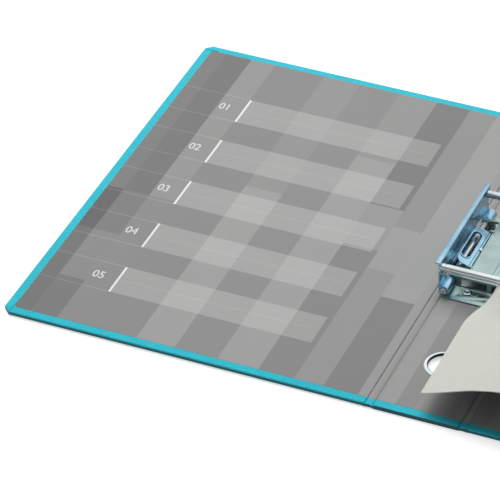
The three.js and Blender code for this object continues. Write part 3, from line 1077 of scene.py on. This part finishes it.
# Parts of the curve between two of its points
CURVE_STEPS = 24
# Play of the tubes in their holes, and how far along X the holes are punched
HOLE_PLAY = 0.35 * MM
PUNCH_REACH = 26 * MM


def beyond(end, inner):
    """The inner point mirrored in the end point."""
    return (2 * end[0] - inner[0], 2 * end[1] - inner[1])


def smooth_path(points, count):
    """Points evenly spaced by length on a smooth curve through the given ones."""
    whole = [beyond(points[0], points[1]), *points, beyond(points[-1], points[-2])]
    line = [Vector(point) * MM for point in whole]
    fine = []
    for a, b, c, d in zip(line, line[1:], line[2:], line[3:]):
        for step in range(CURVE_STEPS):
            t = step / CURVE_STEPS
            fine.append(0.5 * ((2 * b) + (c - a) * t + (2 * a - 5 * b + 4 * c - d) * t * t
                               + (3 * b - a - 3 * c + d) * t ** 3))
    fine.append(line[-2])
    lengths = [0.0]
    for a, b in zip(fine, fine[1:]):
        lengths.append(lengths[-1] + (b - a).length)
    result, index = [], 0
    for step in range(count + 1):
        target = lengths[-1] * step / count
        while index < len(lengths) - 2 and lengths[index + 1] < target:
            index += 1
        share = (target - lengths[index]) / (lengths[index + 1] - lengths[index])
        result.append(fine[index].lerp(fine[index + 1], share))
    return result


class BuildSheet(bpy.types.Operator):
    """Build the curved index sheet on the tubes"""
    bl_idname = "tube_file.build_sheet"
    bl_label = "Index sheet"
    columns = 96
    rows = 110

    def execute(self, context):
        settings = context.scene.tube_file_sheet
        low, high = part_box("index_sheet")
        start_fresh()
        bpy.ops.mesh.primitive_grid_add(
            x_subdivisions=self.columns, y_subdivisions=self.rows, size=1)
        obj = new_piece("index_card")
        steep = smooth_path(STEEP, self.columns)
        easy = smooth_path(EASY, self.columns)
        for vertex in obj.data.vertices:
            column = round((vertex.co.x + 0.5) * self.columns)
            y = vertex.co.y * (high[1] - low[1])
            ease = min(max((abs(y) - STEEP_TO) / (EASY_FROM - STEEP_TO), 0), 1)
            ease = ease * ease * (3 - 2 * ease)
            place = steep[column].lerp(easy[column], ease)
            vertex.co = (place.x, y, place.y)
        obj.data.materials.append(finish_of("card"))
        # The rim takes the paler card, a painted highlight along the sheet's edge.
        obj.data.materials.append(finish_of("card_edge"))
        modify(obj, "SOLIDIFY", thickness=settings.thickness, offset=0, material_offset_rim=1)
        self.punch(obj)
        smooth(obj, 30)
        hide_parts("index_sheet")
        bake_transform(obj)
        return {"FINISHED"}

    def punch(self, obj):
        """Cuts the two holes for the tubes."""
        for y in (-TUBE_Y, TUBE_Y):
            start_fresh()
            bpy.ops.mesh.primitive_cylinder_add(
                vertices=48, radius=TUBE_R + HOLE_PLAY, depth=PUNCH_REACH,
                location=(PUNCH_REACH / 2, y, TUBE_Z), rotation=(0, math.pi / 2, 0))
            tool = bpy.context.active_object
            modify(obj, "BOOLEAN", operation="DIFFERENCE", solver="EXACT", object=tool)
            bpy.data.objects.remove(tool)


# Stage, in metres

FLOOR_SIZE = 12
FLOOR_Z = -0.3 * MM
# Share of the light that the floor gives back, and strength of its glow
FLOOR_TONE = 0.62
# Each softbox: its share of the key light's power, its size, its place
SOFTBOXES = {
    "key_softbox": (1, 1.6, (-0.5, 0.9, 2.2)),
    "side_softbox": (0.22, 0.8, (-1.7, 0.4, 1.6)),
}
# Reflections of the studio brighten towards this direction, by stops of (cosine, grey)
STUDIO_LIGHT = (0, 0.5, 0.866)
STUDIO_SHADES = [(0.1, grey(0.18)), (0.8, grey(1.0))]
CAMERA_PLACE = (0.5554, -1.7290, 1.3414)
FRAME_WIDTH = 36
FARTHEST = 20


class BuildStage(bpy.types.Operator):
    """Build the floor, the lights and the camera"""
    bl_idname = "tube_file.build_stage"
    bl_label = "Stage"

    def execute(self, context):
        settings = context.scene.tube_file_stage
        self.floor()
        self.world(settings)
        for name, (share, size, place) in SOFTBOXES.items():
            self.softbox(name, settings.key * share, size, place)
        self.camera(settings)
        context.scene.view_settings.view_transform = "Standard"
        return {"FINISHED"}

    def floor(self):
        """A pale floor that also glows where the camera or a reflection sees it."""
        start_fresh()
        bpy.ops.mesh.primitive_plane_add(size=FLOOR_SIZE, location=(0, 0, FLOOR_Z))
        plane = new_piece("studio_floor")
        shader = new_material("pale_floor", Base_Color=(*grey(FLOOR_TONE), 1), Roughness=0.9,
                              Specular_IOR_Level=0)
        path = shader.add("LightPath").outputs
        seen = shader.maths("MAXIMUM", path["Is Camera Ray"], path["Is Glossy Ray"])
        glow = shader.add("Emission", Color=WHITE)
        shader.join(shader.maths("MULTIPLY", seen, FLOOR_TONE), glow, "Strength")
        both = shader.add("AddShader")
        shader.join(shader.surface.outputs[0], both, 0)
        shader.join(glow.outputs[0], both, 1)
        shader.join(both.outputs[0], shader.nodes["Material Output"], "Surface")
        plane.data.materials.append(shader.owner)

    def world(self, settings):
        """White to the camera, a shaded studio in reflections, and a plain sky as light."""
        world = bpy.data.worlds.new("studio")
        bpy.context.scene.world = world
        shader = Shader(world, "Background", Color=WHITE, Strength=settings.fill)
        white = shader.add("Background", Color=WHITE, Strength=1)
        studio = shader.add("Background", Strength=settings.reflection)
        towards = shader.add("VectorMath", {"operation": "DOT_PRODUCT"})
        towards.inputs[1].default_value = STUDIO_LIGHT
        shader.join(shader.places["Generated"], towards, 0)
        shader.join(shader.ramp(towards.outputs["Value"], STUDIO_SHADES), studio, "Color")
        path = shader.add("LightPath").outputs
        reflected = shader.choose(path["Is Glossy Ray"], shader.surface, studio)
        seen = shader.choose(path["Is Camera Ray"], reflected, white)
        shader.join(seen.outputs[0], shader.nodes["World Output"], "Surface")

    def softbox(self, name, power, size, place):
        """A square softbox that faces the object and isn't seen in reflections."""
        start_fresh()
        bpy.ops.object.light_add(type="AREA", location=place)
        light = bpy.context.active_object
        light.name = name
        light.data.energy = power
        light.data.size = size
        light.visible_glossy = False
        light.rotation_euler = (-Vector(place)).to_track_quat("-Z", "Y").to_euler()

    def camera(self, settings):
        """The photo's camera."""
        start_fresh()
        bpy.ops.object.camera_add(
            location=CAMERA_PLACE,
            rotation=(math.pi / 2 - settings.elevation, 0, settings.azimuth))
        camera = bpy.context.active_object
        camera.data.lens = settings.lens
        camera.data.sensor_width = FRAME_WIDTH
        camera.data.clip_end = FARTHEST
        bpy.context.scene.camera = camera


class TubeFilePanel(bpy.types.Panel):
    """Lists the steps that build the tube file"""
    bl_idname = "VIEW3D_PT_tube_file"
    bl_label = "Tube File"
    bl_space_type = "VIEW_3D"
    bl_region_type = "UI"
    bl_category = "Tube File"

    def draw(self, context):
        for step in STEPS:
            self.layout.operator(step.bl_idname)
        for name, group in SETTINGS.items():
            box = self.layout.box()
            settings = getattr(context.scene, name)
            for prop in group.__annotations__:
                box.prop(settings, prop)


SETTINGS = {
    "tube_file_case": CaseSettings,
    "tube_file_print": PrintSettings,
    "tube_file_steel": SteelSettings,
    "tube_file_sheet": SheetSettings,
    "tube_file_stage": StageSettings,
}
STEPS = (BuildStage, BuildCovers, BuildSpine, BuildLinings, BuildRing, BuildMechanism, BuildSheet)


def register():
    for name, group in SETTINGS.items():
        bpy.utils.register_class(group)
        setattr(bpy.types.Scene, name, bpy.props.PointerProperty(type=group))
    for step in STEPS:
        bpy.utils.register_class(step)
    bpy.utils.register_class(TubeFilePanel)


def unregister():
    bpy.utils.unregister_class(TubeFilePanel)
    for step in reversed(STEPS):
        bpy.utils.unregister_class(step)
    for name, group in reversed(SETTINGS.items()):
        delattr(bpy.types.Scene, name)
        bpy.utils.unregister_class(group)


def main():
    register()
    for step in STEPS:
        group, operator = step.bl_idname.split(".")
        getattr(getattr(bpy.ops, group), operator)()


if __name__ == "__main__":
    main()
